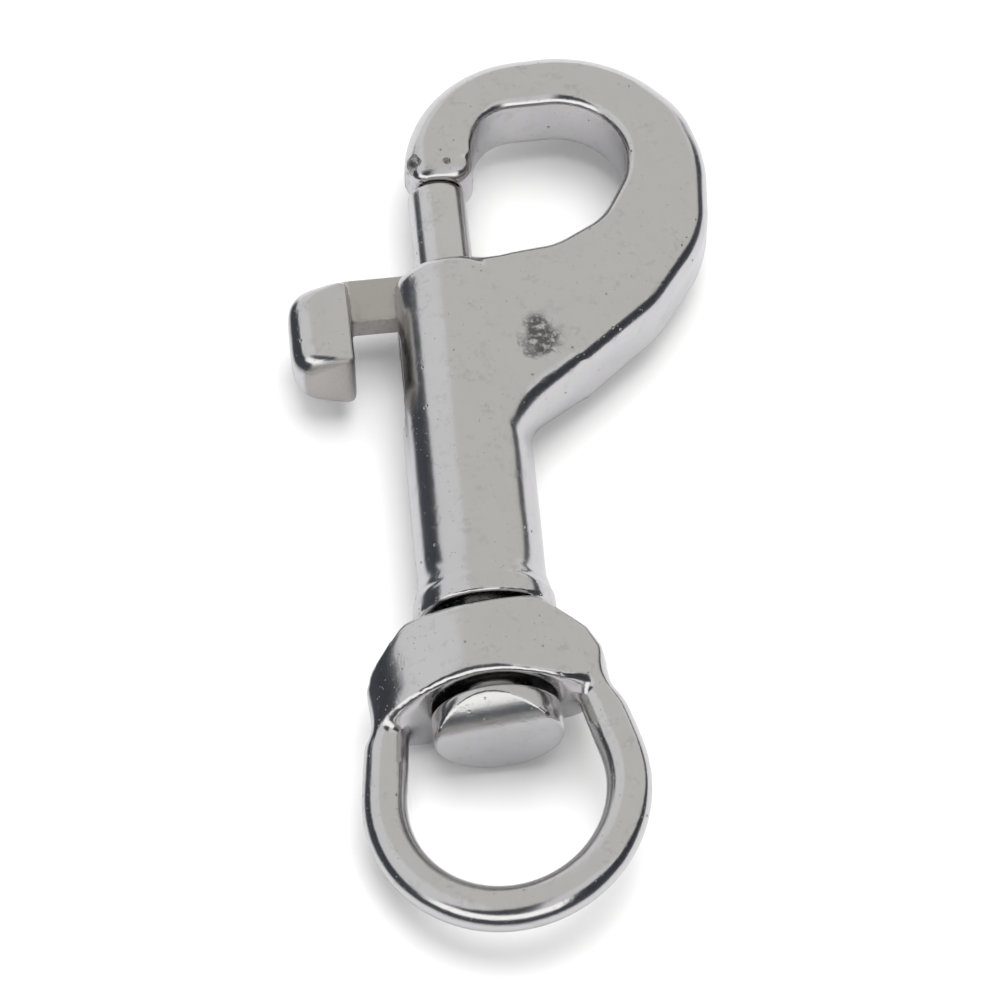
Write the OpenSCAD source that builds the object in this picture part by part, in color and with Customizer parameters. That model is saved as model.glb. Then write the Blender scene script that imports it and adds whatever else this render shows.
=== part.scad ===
// Swivel snap hook: a cast hook with a slotted barrel, a sprung bolt worked by a
// thumb lever, and a swivel eye held by a headed pin.
// Lengths are in millimetres. The origin is the centre of the eye, +Y runs up the
// barrel to the hook, the thumb lever is at -X and +Z is up as the hook lies flat.

/* [Swivel eye] */
// Clear width of the eye
eye_w = 13; // [10:0.5:18]
// Diameter of the eye's wire
wire_d = 3; // [2:0.1:4]
// Lean of the eye's legs towards the collar, in degrees
leg_lean = 10.6; // [4:0.2:14]
// From the middle of the eye to the lowest part of the collar
eye_rise = 5.6; // [5:0.1:8]
// Height of the collar
collar_h = 6.4; // [4:0.1:8]
// Height of the arch in the collar's underside
arch_h = 1; // [0.5:0.1:1.5]
// Diameter of the collar where it is round
collar_d = 9.6; // [8:0.1:12]
// Width of the collar over its shoulders
shoulder_w = 15.8; // [15:0.1:18]
// Thickness of the collar at the ends of its shoulders
shoulder_t = 2.8; // [2:0.1:4]
// Rounding of the collar's edges
collar_edge = 0.8; // [0.3:0.1:1.2]
// How far the eye is turned on its pin, in degrees
eye_turn = 9; // [-90:1:90]
// How far the casting leans to the bore of its collar, in degrees
loop_skew = 3; // [-4:0.5:4]

/* [Swivel pin] */
// Diameter of the pin's head inside the eye
head_d = 8.6; // [7:0.1:9]
// Thickness of the head
head_h = 2.1; // [1.5:0.05:3]
// Turn of the head's ground facet, in degrees
facet_turn = 11; // [-90:1:90]
// Play between the head and the collar
head_play = 0.15; // [0.05:0.05:0.4]
// Depth to which the pin is pressed into the barrel
pin_seat = 7; // [4:0.5:10]

/* [Barrel] */
// Outside diameter of the barrel
barrel_d = 8.6; // [8:0.1:11]
// Length of the barrel, foot to mouth
barrel_l = 26.35; // [22:0.05:34]
// Visible gap between the collar and the barrel's foot
foot_gap = 0.45; // [0.2:0.05:1]
// Diameter of the foot
foot_d = 9.5; // [9:0.1:12]
// Height of the foot
foot_h = 1.5; // [1:0.1:3]
// Rounding of the barrel's mouth
mouth_r = 1.4; // [0.2:0.1:1.6]

/* [Hook] */
// Opening between the barrel's mouth and the nose
gate_w = 7; // [4:0.5:10]
// From the end of the nose to the top of the hook
bow_h = 9.8; // [8:0.1:14]
// Outside radius of the bow
bow_r = 10.35; // [9:0.05:13]
// Distance of the bow's centre from the barrel's axis
bow_x = 7.85; // [7:0.05:9]
// Thickness of the metal over the top of the opening
bar_top = 4.4; // [3:0.1:5]
// Width of the opening in the hook
throat_w = 10.5; // [8:0.1:11]
// Thickness of the hook beside the barrel's mouth
root_t = 6.6; // [5:0.1:8]
// Thickness of the hook at its top
top_t = 5.3; // [4.6:0.1:8]
// Lean of the casting to its bore, in degrees
cast_lean = 0.9; // [0:0.1:1.2]
// Rounding of the hook's outer edge
edge_r = 2.2; // [0.5:0.1:2.3]
// Width of the nose
nose_w = 4.7; // [4.4:0.1:5.5]

/* [Bolt and thumb lever] */
// Diameter of the bolt
bolt_d = 4; // [3:0.1:5]
// Length of the bolt
bolt_l = 13.5; // [11:0.5:16]
// Height of the bolt's rounded tip
tip_h = 0.8; // [0.3:0.1:1.2]
// How far the tip stands in the nose
tip_in = 0.6; // [0.3:0.05:1]
// Height of the arm that joins the lever to the bolt
arm_h = 3.4; // [2.4:0.1:4]
// Thickness of the arm
arm_t = 2.2; // [1.6:0.1:2.6]
// Diameter of the tenon pressed into the bolt
tenon_d = 2; // [1.2:0.1:2.4]
// How far the arm's upper side stands above the barrel's mouth
arm_up = 0.25; // [-0.5:0.05:0.5]
// Gap between the barrel and the knob
knob_gap = 2.5; // [1.5:0.1:4]
// Width of the knob, away from the barrel
knob_w = 4.3; // [3.5:0.1:6]
// Length of the knob, along the barrel
knob_l = 6.7; // [5:0.1:8]
// From the arm's upper side down to the knob's
knob_drop = 0.95; // [0:0.05:2]
// Thickness of the knob
knob_t = 6.2; // [4.5:0.1:8]
// Rounding of the knob's outer side
knob_r = 1.9; // [1:0.1:2.2]
// Length of the slot below the arm
slot_l = 8.4; // [6:0.1:9]

/* [Spring] */
// Diameter of the spring's wire
spring_wire = 0.5; // [0.3:0.05:0.6]
// Number of turns
spring_turns = 7; // [4:1:9]

/* [Fits] */
// Radial clearance of the sliding bolt and of the pin in the collar
run_fit = 0.05; // [0.02:0.01:0.1]
// Clearance of the arm on each side of the slot
slot_fit = 0.25; // [0.1:0.05:0.4]
// Clearance between the bolt's tip and the hollow in the nose
tip_fit = 0.1; // [0.05:0.05:0.3]

/* [Hidden] */
$fn = 64;
// Extra length of a cutting shape past the face it cuts
past = 1;

// Places along the barrel's axis
collar_y = eye_rise;
foot_y = collar_y + collar_h + foot_gap;
mouth_y = foot_y + barrel_l;
nose_y = mouth_y + gate_w;
top_y = nose_y + bow_h;
pin_top_y = foot_y + pin_seat;
tip_y = nose_y + tip_in;
bolt_y = tip_y - bolt_l;
arm_top_y = mouth_y + arm_up;
arm_y = arm_top_y - arm_h;
slot_y = arm_y - slot_l;

// Radii
bolt_r = bolt_d / 2;
bore_r = bolt_r + run_fit;
wire_r = wire_d / 2;
loop_r = eye_w / 2 + wire_r;
// Arch of the collar's underside, and where the pin's head bears on it
arch_top = collar_y + arch_h;
arch_reach = 5.8;
arch_r = (arch_reach * arch_reach + arch_h * arch_h) / (2 * arch_h);
head_rim = head_d / 2;
head_top = arch_top - arch_r + sqrt(arch_r * arch_r - head_rim * head_rim) - head_play;
shank_r = bolt_r;

// Bow of the hook
bow_y = top_y - bow_r;
throat_x = 2.2;
taper = atan((root_t - top_t) / 2 / (top_y - mouth_y));
// Round outlines that the hook's edge runs over: place in X and Y, then radius
crown = [bow_x, bow_y, bow_r];
shoulder = [bow_x - 1.65, bow_y + 1.45, bow_r - 1.55];
cheek = [bow_x + 3.7, bow_y + 2, bow_r - 4.1];
belly = [bow_x + 1.45, bow_y - 2.5, bow_r - 1.65];
flank = [bow_x + 0.6, bow_y - 5.85, bow_r - 2.95];
root = [barrel_d / 2 + 0.05, bow_y - 14.75, 3];
web_r = 3;
// Depth ground off each face of the casting
ground = 0.18;
// Round outlines that the opening runs over
throat_r = throat_w / 2 - 0.4;
arch = [throat_x + throat_w - throat_r, top_y - bar_top - throat_r, throat_r];
corner = [throat_x + 3, top_y - bar_top - 3.1, 3];
low_side = [throat_x + throat_w - 5.1, mouth_y + 5.6, 4.1];
low = [throat_x + throat_w - 6.8, mouth_y + 4.55, 4];
sill = [throat_x + 0.6, mouth_y + 0.8, 0.6];
throat_discs = [arch, corner, low_side, low, sill];

module along_y(y = 0) {
    translate([0, y, 0]) rotate([-90, 0, 0]) children();
}

// Disc of half the hook's thickness, with a rounded rim
module half_disc(r, e = edge_r, h = root_t / 2) {
    rotate_extrude($fn = 40) {
        square([r - e, h]);
        square([r, h - e]);
        intersection() {
            translate([r - e, h - e]) circle(e, $fn = 24);
            translate([r - e, h - e]) square(e);
        }
    }
}

// Puts a shape on the front half, square to the tapering face, and on the back half
module both_faces() {
    for (back = [0, 1]) mirror([0, 0, back])
        translate([0, mouth_y, 0]) rotate([-taper, 0, 0]) translate([0, -mouth_y, 0]) children();
}

// Solid outline of the hook with its rounded edge, its two faces ground flat
module plate() {
    difference() {
        hull() both_faces()
            for (d = [crown, shoulder, cheek, belly, flank, root])
                translate([d.x, d.y, 0]) half_disc(d.z, h = root_t / 2 + ground);
        both_faces() translate([-bow_r, 0, root_t / 2]) cube([4 * bow_r, 2 * top_y, root_t]);
    }
}

// Opening in the hook, cut straight through
module throat_cut() {
    hull() for (d = throat_discs)
        translate([d.x, d.y, -root_t]) cylinder(h = 2 * root_t, r = d.z, $fn = 48);
}

// End of the hook over the bolt, rounded all round
module nose() {
    round_r = 1.3;
    grown = 2.6;
    half_t = top_t / 2;
    left = throat_x + 0.2 - nose_w;
    hull() {
        for (x = [left + round_r, throat_x - round_r], z = [-1, 1])
            translate([x, nose_y + round_r, z * (half_t - round_r)]) sphere(round_r, $fn = 30);
        for (x = [left + round_r + 0.4, throat_x - round_r], z = [-1, 1])
            translate([x, nose_y + grown, z * (half_t - round_r)]) sphere(round_r, $fn = 30);
    }
}

// Tube of the barrel with its foot and rounded mouth, bored through later
module barrel() {
    fillet = (foot_d - barrel_d) / 2;
    along_y(foot_y) rotate_extrude() {
        square([barrel_d / 2, barrel_l - mouth_r]);
        square([barrel_d / 2 - mouth_r, barrel_l]);
        translate([barrel_d / 2 - mouth_r, barrel_l - mouth_r]) circle(mouth_r);
        translate([0, fillet / 2]) square([foot_d / 2, foot_h - fillet]);
        square([foot_d / 2 - fillet / 2, foot_h]);
        for (y = [fillet / 2, foot_h - fillet / 2])
            translate([foot_d / 2 - fillet / 2, y]) circle(fillet / 2);
        difference() {
            translate([0, foot_h]) square([foot_d / 2 - fillet / 2, 3 * fillet]);
            translate([barrel_d / 2 + 3 * fillet, foot_h + 3 * fillet]) circle(3 * fillet);
        }
    }
}

// Bend that runs the hook's lower edge into the barrel's side
module web() {
    bend_r = web_r + barrel_d / 2;
    intersection() {
        translate([bend_r, root.y - 5.4, 0]) rotate([0, 0, 125]) rotate_extrude(angle = 57)
            translate([bend_r, 0]) circle(barrel_d / 2 - 0.15);
        translate([-bow_r, 0, -root_t / 2 - 0.3]) cube([2 * bow_r, mouth_y, root_t + 0.6]);
    }
}

// Turns the casting by its lean, about the middle of the foot
module leaned() {
    translate([0, foot_y, 0]) rotate([0, 0, -cast_lean]) translate([0, -foot_y, 0]) children();
}

module hook_body() {
    color([0.70, 0.70, 0.71]) difference() {
        leaned() {
            barrel();
            web();
            difference() {
                plate();
                throat_cut();
                translate([-bow_r, root.y - bow_r, -root_t])
                    cube([bow_r, mouth_y - root.y + bow_r, 2 * root_t]);
                translate([-bow_r, mouth_y, -root_t])
                    cube([bow_r + throat_x + 0.2, nose_y + 1.5 - mouth_y, 2 * root_t]);
            }
            nose();
        }
        along_y(foot_y - past) cylinder(h = barrel_l + 2 * past, r = bore_r);
        slot();
        nose_hollow();
    }
}

// Slot in the barrel for the lever's arm, open at the mouth
module slot() {
    half = arm_t / 2 + slot_fit;
    translate([-barrel_d, slot_y + half, -half]) cube([barrel_d, mouth_y + past - slot_y - half, 2 * half]);
    translate([-barrel_d, slot_y + half, 0]) rotate([0, 90, 0]) cylinder(h = barrel_d, r = half);
}

// Radius of the ball that the bolt's tip is part of
tip_ball = (bolt_r * bolt_r + tip_h * tip_h) / (2 * tip_h);

module nose_hollow() {
    translate([0, tip_y - tip_ball, 0]) sphere(tip_ball + tip_fit);
}

module bolt() {
    color([0.72, 0.72, 0.73]) difference() {
        intersection() {
            along_y(bolt_y) cylinder(h = bolt_l, r = bolt_r);
            union() {
                translate([0, tip_y - tip_ball, 0]) sphere(tip_ball);
                along_y(bolt_y) cylinder(h = bolt_l - tip_ball, r = bolt_d);
            }
        }
        tenon(0);
    }
}

// Tenon of the lever, or the hole for it
module tenon(short) {
    end_x = bolt_r / 2;
    translate([-bolt_r - past, arm_y + arm_h / 2, 0]) rotate([0, 90, 0])
        cylinder(h = bolt_r + past + end_x - short, r = tenon_d / 2);
}

module arm() {
    corner = 0.3;
    length = barrel_d / 2 + knob_gap + past;
    difference() {
        translate([-length, arm_y + corner, 0]) rotate([0, 90, 0]) linear_extrude(length - bolt_r / 2) {
            translate([-arm_t / 2, 0]) square([arm_t, arm_h - 2 * corner]);
            translate([-arm_t / 2 + corner, -corner]) square([arm_t - 2 * corner, arm_h]);
            for (x = [-1, 1], y = [0, arm_h - 2 * corner])
                translate([x * (arm_t / 2 - corner), y]) circle(corner);
        }
        along_y(bolt_y) cylinder(h = 2 * bolt_l, r = bolt_r);
    }
}

module knob() {
    near_x = -barrel_d / 2 - knob_gap;
    near_r = 0.7;
    high_y = arm_top_y - knob_drop;
    low_y = high_y - knob_l;
    hull() for (z = [-1, 1]) {
        for (y = [low_y + near_r, high_y - near_r])
            translate([near_x - near_r, y, z * (knob_t / 2 - near_r)]) sphere(near_r, $fn = 30);
        for (y = [low_y + knob_r, high_y - knob_r])
            translate([near_x - knob_w + knob_r, y, z * (knob_t / 2 - knob_r)]) sphere(knob_r, $fn = 38);
    }
}

module thumb_lever() {
    color([0.68, 0.68, 0.70]) {
        knob();
        arm();
        tenon(0.2);
    }
}

// Coil spring between the pin's end and the bolt
spring_r = bolt_r - spring_wire / 2 - 0.1;
coil_steps = 16;
wire_sides = 8;
dead_turns = 1;

// Height along the spring at a turn count: closed end turns, open ones between
function coil_y(turn) =
    let (free_l = bolt_y - pin_top_y - spring_wire,
         open_turns = spring_turns - 2 * dead_turns,
         pitch = (free_l - 2 * dead_turns * spring_wire) / open_turns)
    min(turn, dead_turns) * spring_wire
    + min(max(turn - dead_turns, 0), open_turns) * pitch
    + max(turn - dead_turns - open_turns, 0) * spring_wire;

module spring() {
    rings = spring_turns * coil_steps;
    points = [for (i = [0 : rings], j = [0 : wire_sides - 1])
        let (turn = 360 * i / coil_steps, side = 360 * j / wire_sides,
             reach = spring_r + spring_wire / 2 * cos(side))
        [reach * cos(turn), pin_top_y + spring_wire / 2 + coil_y(i / coil_steps) + spring_wire / 2 * sin(side),
         reach * sin(turn)]];
    sides = [for (i = [0 : rings - 1], j = [0 : wire_sides - 1])
        let (a = i * wire_sides + j, b = i * wire_sides + (j + 1) % wire_sides)
        [a, b, b + wire_sides, a + wire_sides]];
    ends = [[for (j = [wire_sides - 1 : -1 : 0]) j],
            [for (j = [0 : wire_sides - 1]) rings * wire_sides + j]];
    color([0.55, 0.56, 0.58]) polyhedron(points, concat(sides, ends));
}

// Wire loop: an arc of more than half a turn with two legs that lean to the collar
module loop() {
    leg_l = (collar_y + collar_h - loop_r * sin(leg_lean)) / cos(leg_lean);
    rotate([0, 0, 180 - leg_lean]) rotate_extrude(angle = 180 + 2 * leg_lean)
        translate([loop_r, 0]) circle(wire_r);
    for (side = [0, 1]) mirror([side, 0, 0]) rotate([0, 0, leg_lean])
        translate([loop_r, 0, 0]) along_y() cylinder(h = leg_l, r = wire_r);
}

// Round block of the collar's height with rounded rims
module puck(r, lip = collar_edge) {
    along_y(collar_y) rotate_extrude($fn = 96) {
        square([r - lip, collar_h]);
        translate([0, lip]) square([r, collar_h - 2 * lip]);
        for (y = [lip, collar_h - lip]) translate([r - lip, y]) circle(lip, $fn = 24);
    }
}

// Lens-shaped body of the collar, thickest in the middle
module lens() {
    half_t = collar_d / 2;
    end_t = shoulder_t / 2;
    half_w = shoulder_w / 2;
    bulge = half_t - end_t;
    lens_r = (half_w * half_w + bulge * bulge) / (2 * bulge);
    intersection() {
        translate([0, 0, lens_r - half_t]) puck(lens_r);
        translate([0, 0, half_t - lens_r]) puck(lens_r);
    }
}

// Outline of collar and legs seen from the front, with the slanted shoulders
module eye_outline() {
    high = collar_y + collar_h;
    core = collar_d / 2 - collar_edge / 2;
    half_w = shoulder_w / 2;
    linear_extrude(2 * collar_d, center = true) polygon([
        [-core, high + past],
        [core, high + past],
        [core, high - 0.2],
        [half_w - 0.7, high - 2.3],
        [half_w, high - 3.6],
        [half_w, collar_y],
        [2 * half_w, collar_y],
        [2 * half_w, -3 * loop_r],
        [-2 * half_w, -3 * loop_r],
        [-2 * half_w, collar_y],
        [-half_w, collar_y],
        [-half_w, high - 3.6],
        [-half_w + 0.7, high - 2.3],
        [-core, high - 0.2]]);
}

// Space under the collar, arched from leg to leg, that rounds the front and back edges
module arch() {
    flat = collar_d / 2 - collar_edge;
    translate([0, arch_top - arch_r, 0]) for (back = [0, 1]) mirror([0, 0, back])
        rotate([0, 0, 65]) rotate_extrude(angle = 50, $fn = 120) {
            square([arch_r, collar_d]);
            difference() {
                translate([arch_r - past, flat]) square([collar_edge + past, collar_d]);
                translate([arch_r + collar_edge, flat]) circle(collar_edge, $fn = 32);
            }
        }
}

module swivel_eye() {
    pivot_y = 0.8;
    color([0.69, 0.69, 0.70]) rotate([0, -eye_turn, 0]) difference() {
        union() {
            difference() {
                union() {
                    puck(collar_d / 2);
                    translate([0, pivot_y, 0]) rotate([0, 0, loop_skew]) translate([0, -pivot_y, 0])
                        intersection() {
                            lens();
                            eye_outline();
                        }
                }
                arch();
            }
            translate([0, pivot_y, 0]) rotate([0, 0, loop_skew]) translate([0, -pivot_y, 0])
                intersection() {
                    loop();
                    eye_outline();
                }
        }
        along_y(collar_y - 3 * past) cylinder(h = collar_h + 4 * past, r = shank_r + run_fit);
    }
}

module swivel_pin() {
    head_y = head_top - head_h;
    edge = 0.35;
    crest_z = head_d * 0.21;
    face_r = 7;
    rise = head_h * 0.8;
    run = head_d / 2 - crest_z;
    chord = sqrt(rise * rise + run * run);
    reach = sqrt(face_r * face_r - chord * chord / 4);
    color([0.70, 0.70, 0.71]) {
        rotate([0, -facet_turn, 0]) intersection() {
            along_y(head_y) rotate_extrude() {
                square([head_d / 2 - edge, head_h]);
                translate([0, edge]) square([head_d / 2, head_h - 2 * edge]);
                for (y = [edge, head_h - edge]) translate([head_d / 2 - edge, y]) circle(edge);
            }
            union() {
                translate([-head_d, head_y - past, -head_d]) cube([2 * head_d, head_h + 2 * past, head_d + crest_z]);
                translate([-head_d, (2 * head_y + rise) / 2 + reach * run / chord,
                           crest_z + run / 2 - reach * rise / chord])
                    rotate([0, 90, 0]) cylinder(h = 2 * head_d, r = face_r, $fn = 120);
            }
        }
        along_y(head_top - edge) cylinder(h = foot_y - head_top + edge, r = shank_r);
        along_y(foot_y) cylinder(h = pin_seat, r = bore_r);
    }
}

hook_body();
bolt();
thumb_lever();
spring();
swivel_eye();
swivel_pin();
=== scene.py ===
"""Swivel snap hook in cast and turned stainless steel, lying on a pale floor.

Skins are shaped in millimetres and then brought to metres. X runs across the barrel, with the thumb
lever at -X. Y runs up the barrel from the centre of the eye to the hook, and Z is up.
"""

import math

import bmesh
import bpy
import numpy as np
from mathutils import Matrix, Vector
from mathutils.kdtree import KDTree


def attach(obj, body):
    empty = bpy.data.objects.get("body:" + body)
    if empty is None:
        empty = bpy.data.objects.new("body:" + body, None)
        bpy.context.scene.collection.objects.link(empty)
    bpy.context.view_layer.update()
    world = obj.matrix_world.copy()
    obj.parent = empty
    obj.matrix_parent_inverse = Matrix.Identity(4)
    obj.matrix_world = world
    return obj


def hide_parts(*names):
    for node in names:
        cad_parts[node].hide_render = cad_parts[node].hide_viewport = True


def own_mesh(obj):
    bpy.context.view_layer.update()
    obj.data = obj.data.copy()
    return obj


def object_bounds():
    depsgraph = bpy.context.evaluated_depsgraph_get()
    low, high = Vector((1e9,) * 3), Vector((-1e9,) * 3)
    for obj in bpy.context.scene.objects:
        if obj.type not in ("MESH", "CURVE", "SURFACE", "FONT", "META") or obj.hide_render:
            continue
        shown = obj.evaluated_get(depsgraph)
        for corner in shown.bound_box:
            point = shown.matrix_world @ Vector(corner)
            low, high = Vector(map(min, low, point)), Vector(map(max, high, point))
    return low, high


bl_info = {
    "name": "Swivel snap hook",
    "version": (1, 0, 0),
    "blender": (4, 5, 0),
    "location": "3D View > Sidebar > Snap hook",
    "description": "Builds the visible pieces of a swivel snap hook and its stage",
    "category": "Add Mesh",
}

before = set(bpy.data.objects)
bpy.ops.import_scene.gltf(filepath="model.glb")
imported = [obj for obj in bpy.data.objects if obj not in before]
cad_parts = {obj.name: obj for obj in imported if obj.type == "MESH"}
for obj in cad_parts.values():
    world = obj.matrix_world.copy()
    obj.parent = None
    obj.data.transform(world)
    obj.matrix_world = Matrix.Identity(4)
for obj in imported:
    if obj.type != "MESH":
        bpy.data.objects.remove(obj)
CAD_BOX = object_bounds()
MM = 0.001

# Barrel of the casting, whose bore runs along Y
FOOT_Y = 12.45
BARREL_LENGTH = 26.35
BARREL_R = 4.3
BORE_R = 2.05
MOUTH_Y = FOOT_Y + BARREL_LENGTH

# Hook of the casting
GATE = 7.0
BOW_HEIGHT = 9.8
BOW_X = 7.85
BOW_R = 10.35
TOP_Y = MOUTH_Y + GATE + BOW_HEIGHT
BOW_Y = TOP_Y - BOW_R
HALF_ROOT = 3.3
HALF_TOP = 2.65
GROUND_OFF = 0.18
EDGE_R = 2.2
SLOPE = (HALF_ROOT - HALF_TOP) / (TOP_Y - MOUTH_Y)
LEAN = math.radians(-0.9)

# Round outlines that the hook's edge runs over: place in X and Y, then radius
EDGE_DISCS = (
    (BOW_X, BOW_Y, BOW_R),
    (BOW_X - 1.65, BOW_Y + 1.45, BOW_R - 1.55),
    (BOW_X + 3.7, BOW_Y + 2.0, BOW_R - 4.1),
    (BOW_X + 1.45, BOW_Y - 2.5, BOW_R - 1.65),
    (BOW_X + 0.6, BOW_Y - 5.85, BOW_R - 2.95),
    (BARREL_R + 0.05, BOW_Y - 14.75, 3.0),
)

# Round outlines that the opening runs over, from its left and right sides, its roof and the barrel's mouth
LEFT_X = 2.2
RIGHT_X = 12.7
ROOF_Y = TOP_Y - 4.4
OPENING_DISCS = (
    (RIGHT_X - 4.85, ROOF_Y - 4.85, 4.85),
    (LEFT_X + 3.0, ROOF_Y - 3.1, 3.0),
    (RIGHT_X - 5.1, MOUTH_Y + 5.6, 4.1),
    (RIGHT_X - 6.8, MOUTH_Y + 4.55, 4.0),
    (LEFT_X + 0.6, MOUTH_Y + 0.8, 0.6),
)


# Shader maths
class Value:
    """An output socket that takes part in arithmetic by adding nodes."""

    def __init__(self, tree, socket):
        self.tree = tree
        self.socket = socket

    def math(self, operation, *values):
        """Result of a Math node on the values."""
        return self.tree.node("ShaderNodeMath", {"operation": operation}, dict(enumerate(values)))

    def vector(self, operation, *values):
        """Vector that a Vector Math node makes of the values."""
        return self.tree.node("ShaderNodeVectorMath", {"operation": operation}, dict(enumerate(values)))

    def __add__(self, other):
        return self.math("ADD", self, other)

    __radd__ = __add__

    def __mul__(self, other):
        return self.math("MULTIPLY", self, other)

    __rmul__ = __mul__

    def __sub__(self, other):
        return self.math("SUBTRACT", self, other)

    def __rsub__(self, other):
        return self.math("SUBTRACT", other, self)

    def __truediv__(self, other):
        return self.math("DIVIDE", self, other)

    def or_more(self, other):
        """The larger of this and another value."""
        return self.math("MAXIMUM", self, other)

    def step(self, low, high):
        """0 below low and 1 above high, with a smooth passage between."""
        return self.tree.node(
            "ShaderNodeMapRange",
            {"interpolation_type": "SMOOTHSTEP"},
            {"Value": self, "From Min": low, "From Max": high, "To Min": 0.0, "To Max": 1.0},
        )

    def length(self):
        """Length of a vector."""
        return self.tree.node("ShaderNodeVectorMath", {"operation": "LENGTH"}, {0: self}, out=1)

    def axes(self):
        """The three parts of a vector."""
        split = self.tree.node("ShaderNodeSeparateXYZ", {}, {0: self}).socket.node
        return [Value(self.tree, out) for out in split.outputs]


class Tree:
    """The node tree of a material or a world, emptied."""

    def __init__(self, owner):
        owner.use_nodes = True
        self.tree = owner.node_tree
        self.tree.nodes.clear()

    def node(self, kind, settings, sockets, out=0):
        """Adds one node with its settings, socket values and links, and returns one of its outputs."""
        made = self.tree.nodes.new(kind)
        for key, value in settings.items():
            setattr(made, key, value)
        for key, value in sockets.items():
            if isinstance(value, Value):
                self.tree.links.new(value.socket, made.inputs[key])
            else:
                made.inputs[key].default_value = value
        return Value(self, made.outputs[out])

    def mix(self, factor, a, b):
        """Colour a turning into colour b."""
        return self.node("ShaderNodeMix", {"data_type": "RGBA"}, {0: factor, 6: a, 7: b}, out=2)

    def mix_shaders(self, factor, a, b):
        """Shader a turning into shader b."""
        return self.node("ShaderNodeMixShader", {}, {0: factor, 1: a, 2: b})

    def noise(self, place, scale, detail):
        """Noise between 0 and 1, about a half on the whole."""
        sockets = {"Vector": place, "Scale": scale, "Detail": detail, "Roughness": 0.55}
        return self.node("ShaderNodeTexNoise", {}, sockets)

    def patches(self, place, scale, detail, low, high):
        """Where a noise stands above a threshold."""
        return self.noise(place, scale, detail).step(low, high)

    def dots(self, place, scale, low, high):
        """Dots in the middles of scattered cells."""
        cell = self.node("ShaderNodeTexVoronoi", {}, {"Vector": place, "Scale": scale})
        return 1.0 - cell.step(low, high)

    def place(self):
        """Place on the piece in millimetres."""
        here = self.node("ShaderNodeTexCoord", {}, {}, out=3)
        return here.vector("MULTIPLY", here, (1 / MM, 1 / MM, 1 / MM))

    def close(self, kind, surface):
        """Adds the output node and gives it the finished shader."""
        output = self.tree.nodes.new(kind)
        self.tree.links.new(surface.socket, output.inputs["Surface"])


# Noises in the metal: scale to the millimetre and detail
SWELL = (0.45, 1.0)
RIPPLE = (1.9, 3.0)
FINE = (5.5, 3.0)
RAGGED = (1.3, 5.0)
DARK_MARK_GRAIN = (3.0, 4.0)
CAST_GRAIN = (3.5, 3.0)

# Dots: scale to the millimetre, then the distances where they are full and gone
PITS = (1.1, 0.07, 0.15)
SPECKS = (3.4, 0.08, 0.16)

# Patches: a noise, then where it starts to show and shows in full
PIT_AREAS = (0.9, 2.0, 0.52, 0.6)
SPECK_AREAS = (1.7, 2.0, 0.5, 0.62)
CLOUDS = (0.8, 5.0, 0.5, 0.68)
CLOUD_TEXTURE = (2.6, 3.0, 0.4, 0.6)
STREAKS = (2.6, 5.0, 0.3, 0.56)

# What the patterns do to the metal's colour, roughness and height, the last in millimetres
PIT_COLOUR = (0.12, 0.115, 0.11, 1.0)
# The next colour is a painted dark reflection, put into the marks
PAINTED_REFLECTION_COLOUR = (0.1, 0.1, 0.1, 1.0)
AS_CAST_COLOUR = (0.5, 0.475, 0.45, 1.0)
SPECK_SHARE = 0.7
SWELL_SHADE = 0.95
CLOUD_SHADE = 0.78
# The last share is how far the painted dark reflections darken the colour
PIT_TINT, CLOUD_TINT, PAINTED_REFLECTION_SHARE = 0.45, 0.5, 0.92
SWELL_ROUGH, FINE_ROUGH, PIT_ROUGH, DARK_MARK_ROUGH, AS_CAST_ROUGH = 0.07, 0.05, 0.3, 0.25, 0.28
RIPPLE_SHARE = 0.12
PIT_DEPTH, CLOUD_DEPTH, DARK_MARK_DEPTH, DARK_MARK_RELIEF, AS_CAST_RELIEF = 0.025, 0.004, 0.02, 0.14, 0.05

# Painted dark reflections on the casting, also made rougher and dented: place, then half their width and
# height
PAINTED_DARK_REFLECTIONS = (
    (5.72, 31.75, 3.55, 1.45, 1.75),
    (-1.45, 47.2, 2.4, 0.55, 0.6),
    (0.93, 46.9, 2.65, 0.25, 0.2),
)
MARK_DEPTH_SCALE = 0.8
MARK_RAGGED = 1.7
MARK_EDGE = (0.6, 1.15)


def shade(tint, share):
    """A share of a colour."""
    return [part * share for part in tint[:3]] + [1.0]


def painted_dark_marks(tree, place, marks):
    """Where the ragged painted dark reflections lie, or None without marks."""
    painted_dark = None
    for x, y, z, half_x, half_y in marks:
        off = place.vector("SUBTRACT", place, (x, y, z))
        off = off.vector("MULTIPLY", off, (1.0 / half_x, 1.0 / half_y, MARK_DEPTH_SCALE))
        ragged = off.length() + (tree.noise(place, *RAGGED) - 0.5) * MARK_RAGGED
        spot = 1.0 - ragged.step(*MARK_EDGE)
        painted_dark = spot if painted_dark is None else painted_dark.or_more(spot)
    return painted_dark


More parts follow.
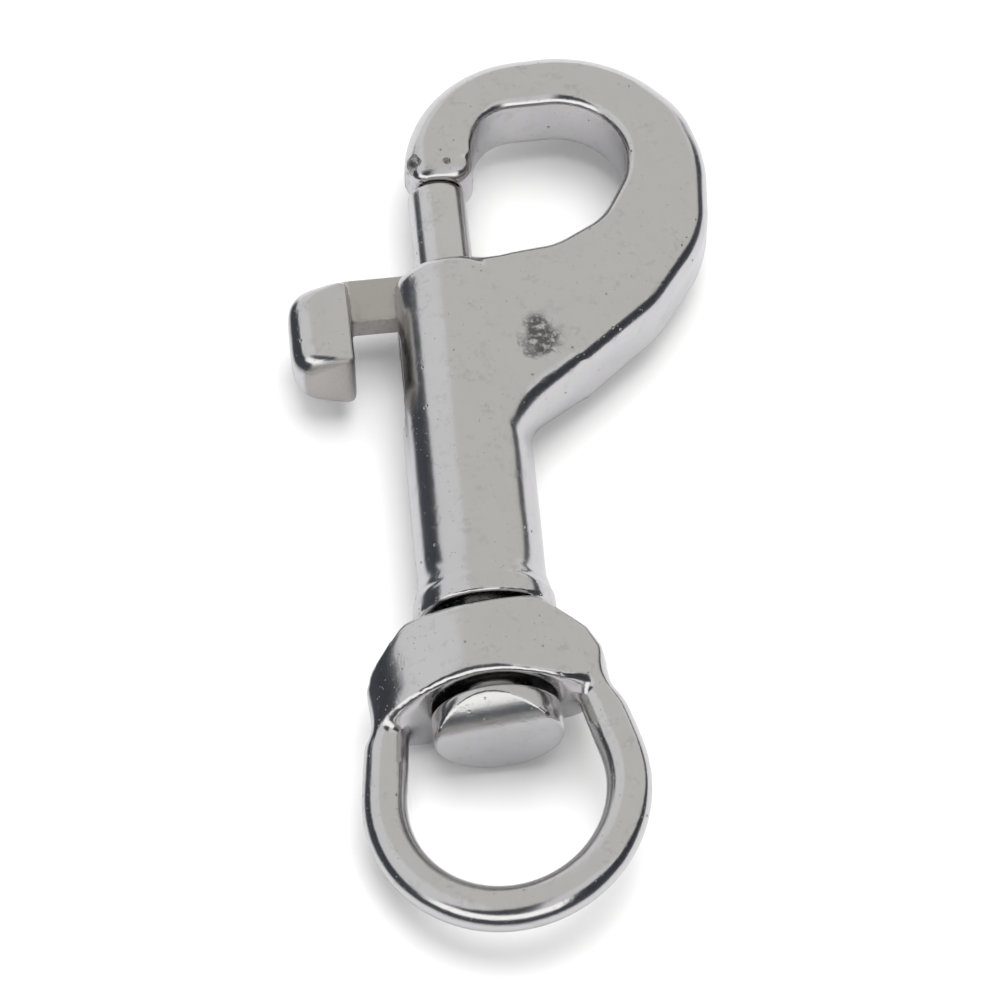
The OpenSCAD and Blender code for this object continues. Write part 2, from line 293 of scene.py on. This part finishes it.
def steel(name, tint, rough, wave, grain, pits, marks=(), as_cast=None):
    """Stainless steel with an uneven polish, fine grain and small pits.

    Wave and grain are heights in millimetres. Pits is their strength. Marks are painted dark reflections,
    also made rougher and dented, and as_cast tells from the place what was never polished.
    """
    material = bpy.data.materials.new(name)
    tree = Tree(material)
    place = tree.place()
    swell = tree.noise(place, *SWELL)
    fine = tree.noise(place, *FINE)
    pit = tree.dots(place, *PITS) * tree.patches(place, *PIT_AREAS) * pits
    speck = tree.dots(place, *SPECKS) * tree.patches(place, *SPECK_AREAS) * pits
    flaw = pit.or_more(speck * SPECK_SHARE)
    cloud = tree.patches(place, *CLOUDS) * tree.patches(place, *CLOUD_TEXTURE)
    colour = tree.mix(swell, tint, shade(tint, SWELL_SHADE))
    colour = tree.mix(cloud * CLOUD_TINT, colour, shade(tint, CLOUD_SHADE))
    colour = tree.mix(flaw * PIT_TINT, colour, PIT_COLOUR)
    evenly = rough - (SWELL_ROUGH + FINE_ROUGH) / 2
    roughness = swell * SWELL_ROUGH + fine * FINE_ROUGH + evenly + flaw * PIT_ROUGH
    height = swell * wave + tree.noise(place, *RIPPLE) * wave * RIPPLE_SHARE + fine * grain
    height = height - flaw * PIT_DEPTH - cloud * CLOUD_DEPTH
    painted_dark = painted_dark_marks(tree, place, marks)
    if painted_dark is not None:
        # Painted dark reflections: the marks darken the colour in streaks, and they are also rougher and
        # dented
        colour = tree.mix(painted_dark * tree.patches(place, *STREAKS) * PAINTED_REFLECTION_SHARE, colour, PAINTED_REFLECTION_COLOUR)
        roughness = roughness + painted_dark * DARK_MARK_ROUGH
        height = height - painted_dark * (tree.noise(place, *DARK_MARK_GRAIN) * DARK_MARK_RELIEF + DARK_MARK_DEPTH)
    if as_cast is not None:
        left = as_cast(place)
        colour = tree.mix(left, colour, AS_CAST_COLOUR)
        roughness = roughness + left * AS_CAST_ROUGH
        height = height + left * tree.noise(place, *CAST_GRAIN) * AS_CAST_RELIEF
    normal = tree.node("ShaderNodeBump", {}, {"Strength": 1.0, "Distance": MM, "Height": height})
    sockets = {"Base Color": colour, "Metallic": 1.0, "Roughness": roughness, "Normal": normal}
    tree.close("ShaderNodeOutputMaterial", tree.node("ShaderNodeBsdfPrincipled", {}, sockets))
    return material


# Skins
LEAST_SKIN = 500


def in_millimetres(node, name):
    """A piece of its own with the node's mesh, in millimetres."""
    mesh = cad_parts[node].data.copy()
    mesh.transform(Matrix.Scale(1 / MM, 4))
    piece = bpy.data.objects.new(name, mesh)
    bpy.context.scene.collection.objects.link(piece)
    return piece


def smooth_piece(node, voxel, passes, cutters=()):
    """The node's solid, cut, as one even skin with its corners softened."""
    piece = in_millimetres(node, f"{node}_skin")
    for cutter in cutters:
        cut = piece.modifiers.new("cut", "BOOLEAN")
        cut.operation = "DIFFERENCE"
        cut.solver = "EXACT"
        cut.object = cutter
    skin = piece.modifiers.new("skin", "REMESH")
    skin.mode = "VOXEL"
    skin.voxel_size = voxel
    soft = piece.modifiers.new("soft", "SMOOTH")
    soft.factor = 0.5
    soft.iterations = passes
    bpy.context.view_layer.update()
    graph = bpy.context.evaluated_depsgraph_get()
    made = bpy.data.meshes.new_from_object(piece.evaluated_get(graph))
    piece.modifiers.clear()
    piece.data = made
    if len(made.polygons) < LEAST_SKIN:
        raise RuntimeError(f"{node} has no skin")
    for cutter in cutters:
        bpy.data.objects.remove(cutter)
    return piece


def finish_piece(piece, node, body, material):
    """Back to metres, smooth shaded, in place of its CAD node and riding its body."""
    piece.data.transform(Matrix.Scale(MM, 4))
    piece.data.shade_smooth()
    piece.data.materials.clear()
    piece.data.materials.append(material)
    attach(piece, body)
    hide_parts(node)
    return piece


def points(piece):
    """The places of the piece's points, one to a row."""
    flat = np.empty(len(piece.data.vertices) * 3)
    piece.data.vertices.foreach_get("co", flat)
    return flat.reshape(-1, 3)


def set_points(piece, co):
    """Puts the piece's points back."""
    piece.data.vertices.foreach_set("co", co.ravel())
    piece.data.update()


def soften(piece, co, weight, passes):
    """Evens the skin where weight is above 0, the more passes the wider."""
    ends = np.empty(len(piece.data.edges) * 2, dtype=np.int32)
    piece.data.edges.foreach_get("vertices", ends)
    a, b = ends[::2], ends[1::2]
    count = len(co)
    degree = np.bincount(a, minlength=count) + np.bincount(b, minlength=count)
    for _ in range(passes):
        total = np.column_stack(
            [np.bincount(a, co[b, axis], count) + np.bincount(b, co[a, axis], count) for axis in range(3)]
        )
        co += 0.5 * weight[:, None] * (total / degree[:, None] - co)


def near_spot(co, x, y, reach):
    """1 round a spot of the plan, fading to 0 at its reach."""
    away = np.hypot(co[:, 0] - x, co[:, 1] - y) / reach
    return np.clip(1.4 * (1 - away), 0, 1)


def band(co, low, rise, high, fall):
    """1 along a stretch of Y, rising from its low end and falling to its high end."""
    y = co[:, 1]
    return np.clip((y - low) / rise, 0, 1) * np.clip((high - y) / fall, 0, 1)


def off_axis(co, radius, fade=1.0):
    """0 within a radius of the Y axis and 1 past the fade, so that bores stay round."""
    return np.clip((np.hypot(co[:, 0], co[:, 2]) - radius) / fade, 0, 1)


def true_round(co, start, along, radius, slack, low, high):
    """Brings the points near a round wall onto it."""
    along = np.array(along) / np.linalg.norm(along)
    off = co - np.array(start)
    height = off @ along
    out = off - np.outer(height, along)
    reach = np.linalg.norm(out, axis=1)
    near = (abs(reach - radius) < slack) & (height > low) & (height < high)
    co[near] += out[near] * (radius / reach[near] - 1)[:, None]


# Outer edge and opening of the hook
RIM_DIRECTIONS = 3840
RIM_STEP = 0.02
EDGE_SLACK = 0.14
EDGE_SHARE = 0.93
EDGE_FROM = (-3.2, 30.2)
BARREL_CLEAR = 4.45
PAST_BARREL_Y = 40
PLUG_SIDES = 64
PLUG_BELOW = 0.2
PLUG_ABOVE = 0.8


def leaned(x, y, way=1):
    """A place in the plan turned with the casting's lean about the middle of its foot, or back."""
    c, s = math.cos(way * LEAN), math.sin(way * LEAN)
    return c * x - s * (y - FOOT_Y), FOOT_Y + s * x + c * (y - FOOT_Y)


def outline(discs):
    """Points and outward directions round the discs' common outline, which bulges everywhere."""
    centres = np.array([d[:2] for d in discs])
    radii = np.array([d[2] for d in discs])
    found, ways = [], []
    for angle in np.linspace(0, math.tau, RIM_DIRECTIONS, endpoint=False):
        way = np.array((math.cos(angle), math.sin(angle)))
        widest = int(np.argmax(centres @ way + radii))
        spot = centres[widest] + way * radii[widest]
        if found:
            start, gap = found[-1], spot - found[-1]
            steps = int(np.linalg.norm(gap) / RIM_STEP)
            for part in range(1, steps):
                found.append(start + gap * part / steps)
                ways.append(way)
        found.append(spot)
        ways.append(way)
    return np.array(found), np.array(ways)


def true_edge(co):
    """Brings the points near the hook's rounded outer edge onto it."""
    rim, ways = outline(EDGE_DISCS)
    flat = np.column_stack(leaned(co[:, 0], co[:, 1], -1))
    tree = KDTree(len(rim))
    for number, spot in enumerate(rim):
        tree.insert((spot[0], spot[1], 0.0), number)
    tree.balance()
    outside = (np.hypot(co[:, 0], co[:, 2]) > BARREL_CLEAR) | (co[:, 1] > PAST_BARREL_Y)
    for number in np.nonzero((flat > EDGE_FROM).all(axis=1) & outside)[0]:
        _, nearest, away = tree.find((flat[number, 0], flat[number, 1], 0.0))
        if away > EDGE_R + EDGE_SLACK:
            continue
        way = ways[nearest]
        out = float((flat[number] - rim[nearest]) @ way)
        half = HALF_ROOT + GROUND_OFF - (flat[number, 1] - MOUTH_Y) * SLOPE
        rise = abs(co[number, 2]) - (half - EDGE_R)
        wanted = 0.0 if rise <= 0 else math.sqrt(max(EDGE_R * EDGE_R - rise * rise, 0.0)) - EDGE_R
        if abs(out - wanted) < EDGE_SLACK and rise < EDGE_SHARE * EDGE_R:
            co[number, :2] = leaned(*(flat[number] + (wanted - out) * way))


def bevel_cutter(bevel, side):
    """A tapering plug round the hook's opening that bevels its edge on one face."""
    plug = bmesh.new()
    for x, y, radius in OPENING_DISCS:
        for depth in (-bevel - PLUG_BELOW, PLUG_ABOVE):
            for step in range(PLUG_SIDES):
                angle = math.tau * step / PLUG_SIDES
                reach = radius + bevel + depth
                px, py = x + reach * math.cos(angle), y + reach * math.sin(angle)
                pz = HALF_ROOT - (py - MOUTH_Y) * SLOPE + depth
                plug.verts.new((*leaned(px, py), side * pz))
    hull = bmesh.ops.convex_hull(plug, input=plug.verts)
    loose = hull["geom_interior"] + hull["geom_unused"]
    spare = {part for part in loose if isinstance(part, bmesh.types.BMVert)}
    bmesh.ops.delete(plug, geom=list(spare), context="VERTS")
    bmesh.ops.recalc_face_normals(plug, faces=plug.faces)
    mesh = bpy.data.meshes.new("Bevel")
    plug.to_mesh(mesh)
    plug.free()
    cutter = bpy.data.objects.new("Bevel", mesh)
    bpy.context.scene.collection.objects.link(cutter)
    cutter.hide_render = True
    return cutter


# Settings
def metal_tint(name, default):
    """A colour that the user can change."""
    return bpy.props.FloatVectorProperty(
        name=name, description="Colour of the metal's reflection", default=default, size=4, min=0.0, max=1.0,
        subtype="COLOR",
    )


class SnapHookFinish(bpy.types.PropertyGroup):
    """How the metal is finished."""

    skin: bpy.props.FloatProperty(
        name="Skin step", description="Size of the skin's squares, in millimetres", default=0.2,
        min=0.15, max=0.6,
    )
    polish: bpy.props.FloatProperty(
        name="Polish", description="Roughness of the polished faces", default=0.17, min=0.05, max=0.6,
        subtype="FACTOR",
    )
    throat_bevel: bpy.props.FloatProperty(
        name="Bevel of the opening", description="Bevel round the hook's opening, in millimetres",
        default=0.5, min=0.1, max=0.8,
    )
    cast_tint: metal_tint("Cast steel", (0.62, 0.61, 0.605, 1.0))
    turned_tint: metal_tint("Turned steel", (0.64, 0.63, 0.625, 1.0))
    pin_tint: metal_tint("Pin", (0.6, 0.595, 0.59, 1.0))
    wire_tint: metal_tint("Spring wire", (0.5, 0.5, 0.51, 1.0))


class SnapHookStage(bpy.types.PropertyGroup):
    """How the hook is shown."""

    elevation: bpy.props.FloatProperty(
        name="Camera elevation", description="Height of the camera above the horizon",
        default=math.radians(61.5), subtype="ANGLE",
    )
    azimuth: bpy.props.FloatProperty(
        name="Camera azimuth", description="Turn of the camera round the hook",
        default=math.radians(-6.05), subtype="ANGLE",
    )
    distance: bpy.props.FloatProperty(
        name="Camera distance", description="From the camera to the hook", default=0.3, unit="LENGTH"
    )
    lens: bpy.props.FloatProperty(
        name="Lens", description="Focal length of the camera, in millimetres", default=161.7
    )
    power: bpy.props.FloatProperty(
        name="Lamp power", description="Power of the lamp over the hook, in watts", default=2.2, min=0.0
    )


# Pieces. Spots in the plan are place and reach, stretches are their low end, rise, high end and fall
WEB_BEND = (5.9, 27.5, 3.7)
NOSE_END = (0.0, 46.9, 3.4)
FOOT_STEP = (14.4, 0.4, 18.4, 1.2)
MOUTH_CORNER = (3.3, 38.9, 1.9)
COLLAR_RIM = (5.0, 0.5, 8.2, 0.8)
COLLAR_ENDS = ((-7.6, 5.6, 2.8), (8.0, 6.1, 2.8))
BOLT_Y = 32.0
BOLT_R = 2.0
KNOB_X = -7.0
KNOB_FADE = 0.8
ARM_CAST_X = (-6.9, -6.6)
KNOB_CAST_Y = (31.7, 31.95)


class SNAPHOOK_OT_hook(bpy.types.Operator):
    """Build the cast hook with its barrel"""

    bl_idname = "snaphook.hook"
    bl_label = "Cast hook"

    def execute(self, context):
        finish = context.scene.snap_hook_finish
        cutters = [bevel_cutter(finish.throat_bevel, side) for side in (-1, 1)]
        piece = smooth_piece("hook_body", finish.skin, 5, cutters)
        co = points(piece)
        true_edge(co)
        foot = (0, FOOT_Y, 0)
        up_barrel = (math.sin(-LEAN), math.cos(LEAN), 0)
        true_round(co, foot, up_barrel, BARREL_R, slack=0.04, low=4.2, high=24.6)
        true_round(co, foot, (0, 1, 0), BORE_R, slack=0.06, low=0.4, high=25.9)
        soften(piece, co, near_spot(co, *WEB_BEND) * off_axis(co, radius=2.8), passes=220)
        soften(piece, co, near_spot(co, *NOSE_END) * off_axis(co, radius=2.2, fade=0.3), passes=16)
        soften(piece, co, band(co, *FOOT_STEP) * off_axis(co, radius=2.8), passes=14)
        soften(piece, co, near_spot(co, *MOUTH_CORNER) * off_axis(co, radius=2.3, fade=0.4), passes=24)
        set_points(piece, co)
        # The casting's marks carry painted dark reflections
        cast = steel(
            "Cast_steel", finish.cast_tint, finish.polish, wave=0.03, grain=0.0016, pits=1.0, marks=PAINTED_DARK_REFLECTIONS
        )
        finish_piece(piece, "hook_body", "hook", cast)
        return {"FINISHED"}


def left_as_cast(place):
    """The lever's arm and the underside of its knob, which no wheel reached."""
    x, y, _ = place.axes()
    return x.step(*ARM_CAST_X).or_more(1.0 - y.step(*KNOB_CAST_Y))


class SNAPHOOK_OT_bolt(bpy.types.Operator):
    """Build the sliding bolt with its thumb lever"""

    bl_idname = "snaphook.bolt"
    bl_label = "Bolt and thumb lever"

    def execute(self, context):
        finish = context.scene.snap_hook_finish
        bolt = smooth_piece("bolt", 0.12, 3)
        co = points(bolt)
        true_round(co, (0, BOLT_Y, 0), (0, 1, 0), BOLT_R, slack=0.05, low=1.2, high=13.3)
        set_points(bolt, co)
        turned = steel("Turned_steel", finish.turned_tint, finish.polish, wave=0.012, grain=0.001, pits=0.7)
        finish_piece(bolt, "bolt", "sliding_bolt", turned)
        lever = smooth_piece("thumb_lever", 0.13, 8)
        co = points(lever)
        soften(lever, co, np.clip((KNOB_X - co[:, 0]) / KNOB_FADE, 0, 1), passes=60)
        set_points(lever, co)
        cast = steel(
            "Lever_steel", finish.cast_tint, finish.polish, wave=0.04, grain=0.0016, pits=1.0,
            as_cast=left_as_cast,
        )
        finish_piece(lever, "thumb_lever", "sliding_bolt", cast)
        return {"FINISHED"}


class SNAPHOOK_OT_eye(bpy.types.Operator):
    """Build the swivel eye and the headed pin that holds it"""

    bl_idname = "snaphook.eye"
    bl_label = "Swivel eye and pin"

    def execute(self, context):
        finish = context.scene.snap_hook_finish
        eye = smooth_piece("swivel_eye", 0.16, 18)
        co = points(eye)
        soften(eye, co, band(co, *COLLAR_RIM) * off_axis(co, radius=3.1), passes=50)
        for spot in COLLAR_ENDS:
            soften(eye, co, near_spot(co, *spot), passes=45)
        set_points(eye, co)
        cast = steel("Eye_steel", finish.cast_tint, finish.polish, wave=0.035, grain=0.0016, pits=1.0)
        finish_piece(eye, "swivel_eye", "eye", cast)
        pin = smooth_piece("swivel_pin", 0.12, 2)
        ground = steel("Pin_steel", finish.pin_tint, rough=0.2, wave=0.012, grain=0.002, pits=0.5)
        finish_piece(pin, "swivel_pin", "hook", ground)
        return {"FINISHED"}


class SNAPHOOK_OT_spring(bpy.types.Operator):
    """Finish the coil spring behind the bolt"""

    bl_idname = "snaphook.spring"
    bl_label = "Spring"

    def execute(self, context):
        finish = context.scene.snap_hook_finish
        spring = in_millimetres("spring", "spring_skin")
        wire = steel("Spring_wire", finish.wire_tint, rough=0.22, wave=0.0, grain=0.001, pits=0.2)
        finish_piece(spring, "spring", "hook", wire)
        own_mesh(spring)
        return {"FINISHED"}


# Room in the metal's reflections
DARK = (0.05, 0.055, 0.065, 1.0)
PALE = (0.86, 0.865, 0.885, 1.0)
WARM = (0.73, 0.725, 0.7, 1.0)
FRONT_DARK = (0.06, 0.065, 0.08, 1.0)
FRONT_FOOT = (0.07, 0.075, 0.09, 1.0)
STRIP_LIGHT = (1.5, 1.5, 1.5, 1.0)
WHITE = (1.0, 1.0, 1.0, 1.0)

# Soft edges round the barrel's axis, in degrees from straight up to the right
LEFT_FOOT = (-76, -71)
PANEL_LEFT = (-26, -22)
PANEL_RIGHT = (88, 92)
RIGHT_FOOT = (96, 101)
MIDDLE_PANEL_LEFT = (-40, -30)
MIDDLE_PANEL_RIGHT = (72, 84)

# Soft edges along an axis of the direction
FAR_END = (0.52, 0.66)
FRONT_END = (0.35, 0.5)
FRONT_SPLIT = (-0.12, 0.05)
STRIP_BOTTOM = (0.1, 0.16)
STRIP_TOP = (0.48, 0.56)
FOOT_TOP = (0.08, 0.12)
RIGHT_SIDE = (0.3, 0.4)
SHADOW_EDGE = (0.0, 0.04)
SHADOW_TILT = 0.5
SHADOW_LOW = 0.03
SHADOW_Y = 0.35


def front_end(tree, x, z):
    """The end in front of the eye: dark on the left and at the foot, with a strip light."""
    wall = tree.mix(x.step(*FRONT_SPLIT), FRONT_DARK, PALE)
    strip = z.step(*STRIP_BOTTOM) * (1.0 - z.step(*STRIP_TOP))
    wall = tree.mix(strip, wall, STRIP_LIGHT)
    return tree.mix(1.0 - z.step(*FOOT_TOP), wall, FRONT_FOOT)


def studio_world():
    """White to the camera; in the metal, a grey panel overhead, pale sides and a dark low side."""
    world = bpy.data.worlds.new("Studio")
    bpy.context.scene.world = world
    tree = Tree(world)
    x, y, z = tree.node("ShaderNodeTexCoord", {}, {}).axes()
    turn = x.math("ARCTAN2", x, z) * math.degrees(1)
    side = tree.mix(turn.step(*LEFT_FOOT), DARK, PALE)
    far = tree.mix(turn.step(*PANEL_LEFT), side, WARM)
    far = tree.mix(turn.step(*PANEL_RIGHT), far, DARK)
    far = tree.mix(turn.step(*RIGHT_FOOT), far, PALE)
    middle = tree.mix(turn.step(*MIDDLE_PANEL_LEFT), PALE, WARM)
    middle = tree.mix(turn.step(*MIDDLE_PANEL_RIGHT), middle, PALE)
    inside = 1.0 - y.step(*FAR_END)
    colour = tree.mix(inside, middle, far)
    colour = tree.mix((0.0 - y).step(*FRONT_END), colour, front_end(tree, x, z))
    shadow_top = (SHADOW_Y - y).or_more(0.0) * SHADOW_TILT + SHADOW_LOW
    shadow = x.step(*RIGHT_SIDE) * (1.0 - (z - shadow_top).step(*SHADOW_EDGE)) * inside
    colour = tree.mix(shadow, colour, DARK)
    to_camera = tree.node("ShaderNodeLightPath", {}, {}, out=0)
    room = tree.node("ShaderNodeBackground", {}, {"Color": colour, "Strength": 1.0})
    white = tree.node("ShaderNodeBackground", {}, {"Color": WHITE, "Strength": 1.0})
    tree.close("ShaderNodeOutputWorld", tree.mix_shaders(to_camera, room, white))


# Stage. Greys of the floor, then soft edges of its part that mirrors bright, in millimetres or as a share
FLOOR_R = 0.35
FLOOR_SIDES = 96
FLOOR_PALE = (0.9, 0.9, 0.9, 1.0)
FLOOR_NEAR = (0.68, 0.68, 0.7, 1.0)
FLOOR_OUTER = (0.045, 0.05, 0.06, 1.0)
NEAR_REACH = (38.0, 50.0)
NEAR_LEFT = (-24.0, -17.0)
FAR_SHARE = (0.72, 0.86)

# Lamps: name, place from the middle of the hook, size and share of the power
LAMPS = (
    ("Over", (0.05, 0.1, 0.5), 0.4, 1.0),
    ("Front", (0.25, -0.3, 0.3), 0.25, 0.25),
)
LOOK_AT = Vector((0.00189, 0.02148, 0.0))


def floor_paper():
    """Pale to the camera; in the metal, greyer near the hook and dark beyond, but not on the far side."""
    paper = bpy.data.materials.new("Floor")
    tree = Tree(paper)
    mirrored = tree.node("ShaderNodeLightPath", {}, {}, out=3)
    pale, near, outer = (
        tree.node("ShaderNodeBsdfDiffuse", {}, {"Color": colour})
        for colour in (FLOOR_PALE, FLOOR_NEAR, FLOOR_OUTER)
    )
    here = tree.place()
    away = here.length()
    x, y, _ = here.axes()
    past = away.step(*NEAR_REACH).or_more(1.0 - x.step(*NEAR_LEFT))
    dim = past * (1.0 - (y / away).step(*FAR_SHARE))
    grey = tree.mix_shaders(dim, near, outer)
    tree.close("ShaderNodeOutputMaterial", tree.mix_shaders(mirrored, pale, grey))
    return paper


def floor_disc(middle, floor_z):
    """The floor, a disc under the middle of the hook."""
    mesh = bpy.data.meshes.new("Floor")
    disc = bmesh.new()
    bmesh.ops.create_circle(disc, cap_ends=True, radius=FLOOR_R, segments=FLOOR_SIDES)
    disc.to_mesh(mesh)
    disc.free()
    mesh.materials.append(floor_paper())
    floor = bpy.data.objects.new("Floor", mesh)
    floor.location = (middle.x, middle.y, floor_z)
    bpy.context.scene.collection.objects.link(floor)
    return floor


def round_lamp(name, middle, place, size, power):
    """A round lamp aimed at the middle of the hook, not seen in the metal."""
    data = bpy.data.lights.new(name, "AREA")
    data.shape = "DISK"
    data.size = size
    data.energy = power
    lamp = bpy.data.objects.new(name, data)
    lamp.location = middle + Vector(place)
    lamp.rotation_euler = (-Vector(place)).to_track_quat("-Z", "Y").to_euler()
    lamp.visible_glossy = False
    bpy.context.scene.collection.objects.link(lamp)
    return lamp


def aim_camera(stage):
    """The camera, looking down on the hook."""
    camera = bpy.data.objects.new("Camera", bpy.data.cameras.new("Camera"))
    camera.data.lens = stage.lens
    camera.data.sensor_width = 36.0
    camera.data.clip_start = 0.01
    a, e = stage.azimuth, stage.elevation
    back = Vector((math.sin(a) * math.cos(e), -math.cos(a) * math.cos(e), math.sin(e)))
    right = Vector((math.cos(a), math.sin(a), 0.0))
    turn = Matrix((right, back.cross(right), back)).transposed().to_4x4()
    camera.matrix_world = Matrix.Translation(LOOK_AT + back * stage.distance) @ turn
    bpy.context.scene.collection.objects.link(camera)
    bpy.context.scene.camera = camera


class SNAPHOOK_OT_stage(bpy.types.Operator):
    """Set the pale floor, the lamps, the world and the camera"""

    bl_idname = "snaphook.stage"
    bl_label = "Stage"

    def execute(self, context):
        stage = context.scene.snap_hook_stage
        context.scene.view_settings.view_transform = "Standard"
        studio_world()
        low, high = CAD_BOX
        middle = (low + high) / 2
        floor = floor_disc(middle, low.z)
        lamps = [
            round_lamp(name, middle, place, size, stage.power * share) for name, place, size, share in LAMPS
        ]
        aim_camera(stage)
        return {"FINISHED"}


class SNAPHOOK_PT_panel(bpy.types.Panel):
    """Builds the snap hook and shows its settings"""

    bl_idname = "SNAPHOOK_PT_panel"
    bl_label = "Snap hook"
    bl_space_type = "VIEW_3D"
    bl_region_type = "UI"
    bl_category = "Snap hook"

    def draw(self, context):
        layout = self.layout
        for group in (context.scene.snap_hook_finish, context.scene.snap_hook_stage):
            box = layout.box()
            for name in group.bl_rna.properties.keys():
                if name not in {"rna_type", "name"}:
                    box.prop(group, name)
        for step in STEPS:
            layout.operator(step.bl_idname)


STEPS = (SNAPHOOK_OT_hook, SNAPHOOK_OT_bolt, SNAPHOOK_OT_eye, SNAPHOOK_OT_spring, SNAPHOOK_OT_stage)
CLASSES = (SnapHookFinish, SnapHookStage, *STEPS, SNAPHOOK_PT_panel)


def register():
    """Makes the settings, operators and panel known."""
    for item in CLASSES:
        bpy.utils.register_class(item)
    bpy.types.Scene.snap_hook_finish = bpy.props.PointerProperty(type=SnapHookFinish)
    bpy.types.Scene.snap_hook_stage = bpy.props.PointerProperty(type=SnapHookStage)


def unregister():
    """Takes them away again."""
    del bpy.types.Scene.snap_hook_stage
    del bpy.types.Scene.snap_hook_finish
    for item in reversed(CLASSES):
        bpy.utils.unregister_class(item)


def main():
    """Builds every piece and the stage."""
    register()
    bpy.ops.snaphook.hook()
    bpy.ops.snaphook.bolt()
    bpy.ops.snaphook.eye()
    bpy.ops.snaphook.spring()
    bpy.ops.snaphook.stage()
    bpy.context.view_layer.update()


if __name__ == "__main__":
    main()
